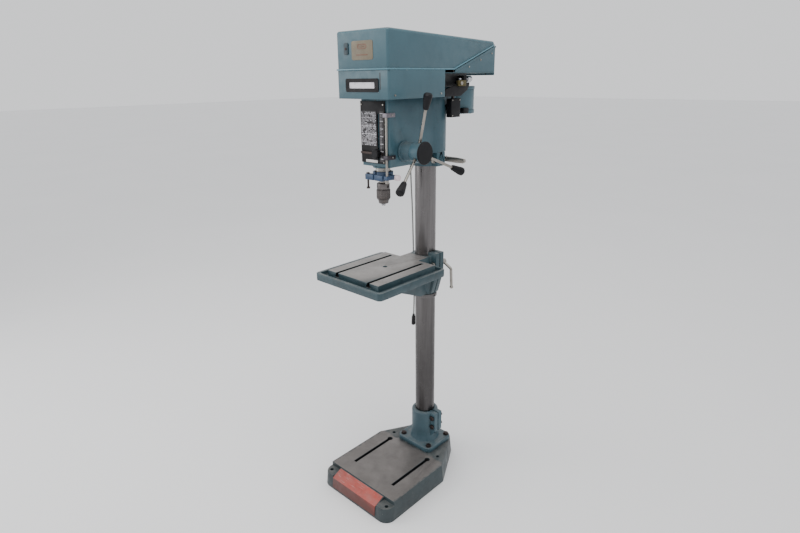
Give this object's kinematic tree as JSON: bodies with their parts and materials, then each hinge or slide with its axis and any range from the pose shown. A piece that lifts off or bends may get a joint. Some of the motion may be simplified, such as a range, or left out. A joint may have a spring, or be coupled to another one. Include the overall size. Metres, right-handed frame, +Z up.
{
  "type": "pillar drill press",
  "caption": "Floor-standing pillar drill press with slotted base and table, belt-driven head, hinged belt lid, three-lever feed and keyed chuck.",
  "frame": {"origin": "on the floor, on the column's axis, at the underside of the base", "axes": "+Z up along the column, -Y towards the operator, +X to the operator's right, where the feed levers are"},
  "size_m": [0.3888, 0.712, 1.7596],
  "materials": {
    "cast_paint": "satin enamel over cast iron",
    "sheet_paint": "satin enamel on sheet steel",
    "red_paint": "worn satin enamel",
    "blue_paint": "satin enamel",
    "black_paint": "satin",
    "bright_steel": "turned, lightly tarnished",
    "dark_steel": "blackened, oiled",
    "column_steel": "ground, lightly tarnished",
    "chuck_steel": "tarnished",
    "bearing_steel": "ground",
    "pulley_aluminium": "as turned",
    "plate_aluminium": "printed and lacquered",
    "brass": "tarnished",
    "black_plastic": "moulded, slightly worn",
    "white_plastic": "moulded",
    "box_grey": "moulded",
    "green_plastic": "moulded",
    "red_plastic": "moulded",
    "black_rubber": "matt",
    "belt_rubber": "matt",
    "cord_grey": "matt"
  },
  "bodies": {
    "frame": {"base_casting": "cast_paint", "base_front_plate": "red_paint", "column_socket": "cast_paint", "socket_bolts": "dark_steel", "column": "column_steel", "head_casting": "cast_paint", "head_clamp_bolt": "bright_steel", "feed_bush": "cast_paint", "spring_housing": "cast_paint", "return_spring": "bright_steel", "rod_guides": "dark_steel", "front_panel": "black_paint", "label_plates": "plate_aluminium", "upper_housing": "cast_paint", "sleeve_bearings": "bearing_steel", "v_belt": "belt_rubber", "belt_housing": "sheet_paint", "rear_housing": "sheet_paint", "lid_hinge_pins": "bright_steel", "tension_bracket": "cast_paint", "junction_box": "black_plastic", "switch_box": "box_grey", "switch_cover": "box_grey", "cord_gland": "black_rubber", "cord": "cord_grey", "cord_connector": "black_rubber"},
    "height_collar": {"table_collar": "column_steel"},
    "table": {"table_casting": "cast_paint", "table_clamp_bolt": "bright_steel"},
    "table_lever": {"table_clamp_lever": "bright_steel"},
    "head_lever": {"head_clamp_lever": "bright_steel"},
    "feed": {"feed_shaft": "bright_steel", "feed_cap": "dark_steel", "feed_hub": "sheet_paint", "feed_levers": "bright_steel", "feed_grips": "black_plastic"},
    "quill": {"quill": "bright_steel", "quill_bearings": "bearing_steel", "guard_clamp": "blue_paint", "guard_pin": "dark_steel", "depth_rod": "dark_steel"},
    "guard_knob": {"guard_knob": "white_plastic"},
    "spindle": {"spindle": "bright_steel", "chuck_body": "chuck_steel"},
    "chuck_sleeve": {"chuck_sleeve": "chuck_steel"},
    "jaw_1": {"chuck_jaw_1": "bearing_steel"},
    "jaw_2": {"chuck_jaw_2": "bearing_steel"},
    "jaw_3": {"chuck_jaw_3": "bearing_steel"},
    "depth_stop": {"depth_stop": "dark_steel"},
    "stop_knob": {"stop_knob": "black_plastic"},
    "pulley": {"drive_sleeve": "bright_steel", "spindle_pulley": "pulley_aluminium"},
    "motor": {"motor_case": "sheet_paint", "motor_plate": "dark_steel"},
    "rotor": {"motor_shaft": "bright_steel", "motor_pulley": "pulley_aluminium"},
    "lid": {"lid": "sheet_paint"},
    "tension_knob": {"tension_knob": "brass"},
    "start_button": {"start_button": "green_plastic"},
    "stop_button": {"stop_button": "red_plastic"}
  },
  "joints": [
    {"name": "table_height", "type": "slide", "parent": "frame", "child": "height_collar", "axis": [0, 0, 1], "range_m": [-0.42, 0.11]},
    {"name": "table_swing", "type": "hinge", "parent": "height_collar", "child": "table", "pos_m": [0, 0, 0.784], "axis": [0, 0, 1], "range_deg": [-60, 60]},
    {"name": "table_lock", "type": "hinge", "parent": "table", "child": "table_lever", "pos_m": [0.063, 0.036, 0.915], "axis": [0, 1, 0], "range_deg": [-30, 28]},
    {"name": "head_lock", "type": "hinge", "parent": "frame", "child": "head_lever", "pos_m": [0.063, 0.032, 1.322], "axis": [0, 1, 0], "range_deg": [-25, 25]},
    {"name": "quill_feed", "type": "slide", "parent": "frame", "child": "quill", "axis": [0, 0, -1], "range_m": [0, 0.1], "stiffness_N_per_m": 220, "springref_m": -0.35},
    {"name": "lever_turn", "type": "hinge", "parent": "frame", "child": "feed", "pos_m": [0.1, -0.1895, 1.372], "axis": [1, 0, 0], "range_deg": [0, 360]},
    {"name": "guard_knob_turn", "type": "hinge", "parent": "quill", "child": "guard_knob", "pos_m": [0.081, -0.241, 1.288], "axis": [1, 0, 0], "range_deg": [0, 180]},
    {"name": "pulley_spin", "type": "hinge", "parent": "frame", "child": "pulley", "pos_m": [0, -0.23, 1.6], "axis": [0, 0, 1], "continuous": true},
    {"name": "spindle_spin", "type": "hinge", "parent": "quill", "child": "spindle", "pos_m": [0, -0.23, 1.3], "axis": [0, 0, 1], "continuous": true},
    {"name": "belt_tension", "type": "slide", "parent": "frame", "child": "motor", "axis": [0, 1, 0], "range_m": [-0.012, 0]},
    {"name": "motor_spin", "type": "hinge", "parent": "motor", "child": "rotor", "pos_m": [0, 0.174, 1.6], "axis": [0, 0, 1], "continuous": true},
    {"name": "sleeve_turn", "type": "hinge", "parent": "spindle", "child": "chuck_sleeve", "pos_m": [0, -0.23, 1.22], "axis": [0, 0, 1], "range_deg": [0, 1440]},
    {"name": "jaw_slide_1", "type": "slide", "parent": "spindle", "child": "jaw_1", "axis": [0.225, 0, 0.9744], "range_m": [0, 0.0262]},
    {"name": "jaw_slide_2", "type": "slide", "parent": "spindle", "child": "jaw_2", "axis": [-0.1125, 0.1948, 0.9744], "range_m": [0, 0.0262]},
    {"name": "jaw_slide_3", "type": "slide", "parent": "spindle", "child": "jaw_3", "axis": [-0.1125, -0.1948, 0.9744], "range_m": [0, 0.0262]},
    {"name": "stop_height", "type": "slide", "parent": "frame", "child": "depth_stop", "axis": [0, 0, 1], "range_m": [-0.009, 0.11]},
    {"name": "stop_knob_turn", "type": "hinge", "parent": "depth_stop", "child": "stop_knob", "pos_m": [0.02, -0.27, 1.368], "axis": [0, 1, 0], "range_deg": [0, 180]},
    {"name": "lid_open", "type": "hinge", "parent": "frame", "child": "lid", "pos_m": [0, 0.265, 1.731], "axis": [-1, 0, 0], "range_deg": [0, 75]},
    {"name": "tension_lock", "type": "hinge", "parent": "frame", "child": "tension_knob", "pos_m": [0.096, 0.1, 1.606], "axis": [0, 1, 0], "range_deg": [0, 180]},
    {"name": "start_press", "type": "slide", "parent": "frame", "child": "start_button", "axis": [1, 0, 0], "range_m": [0, 0.003], "stiffness_N_per_m": 500, "springref_m": -0.002},
    {"name": "stop_press", "type": "slide", "parent": "frame", "child": "stop_button", "axis": [1, 0, 0], "range_m": [0, 0.003], "stiffness_N_per_m": 500, "springref_m": -0.002}
  ],
  "couplings": [
    {"joint": "lever_turn", "follows": "quill_feed", "rad_per_m": 62.5},
    {"joint": "spindle_spin", "follows": "pulley_spin", "ratio": 1},
    {"joint": "motor_spin", "follows": "pulley_spin", "ratio": 1},
    {"joint": "jaw_slide_1", "follows": "sleeve_turn", "m_per_rad": 0.0010345},
    {"joint": "jaw_slide_2", "follows": "sleeve_turn", "m_per_rad": 0.0010345},
    {"joint": "jaw_slide_3", "follows": "sleeve_turn", "m_per_rad": 0.0010345}
  ]
}
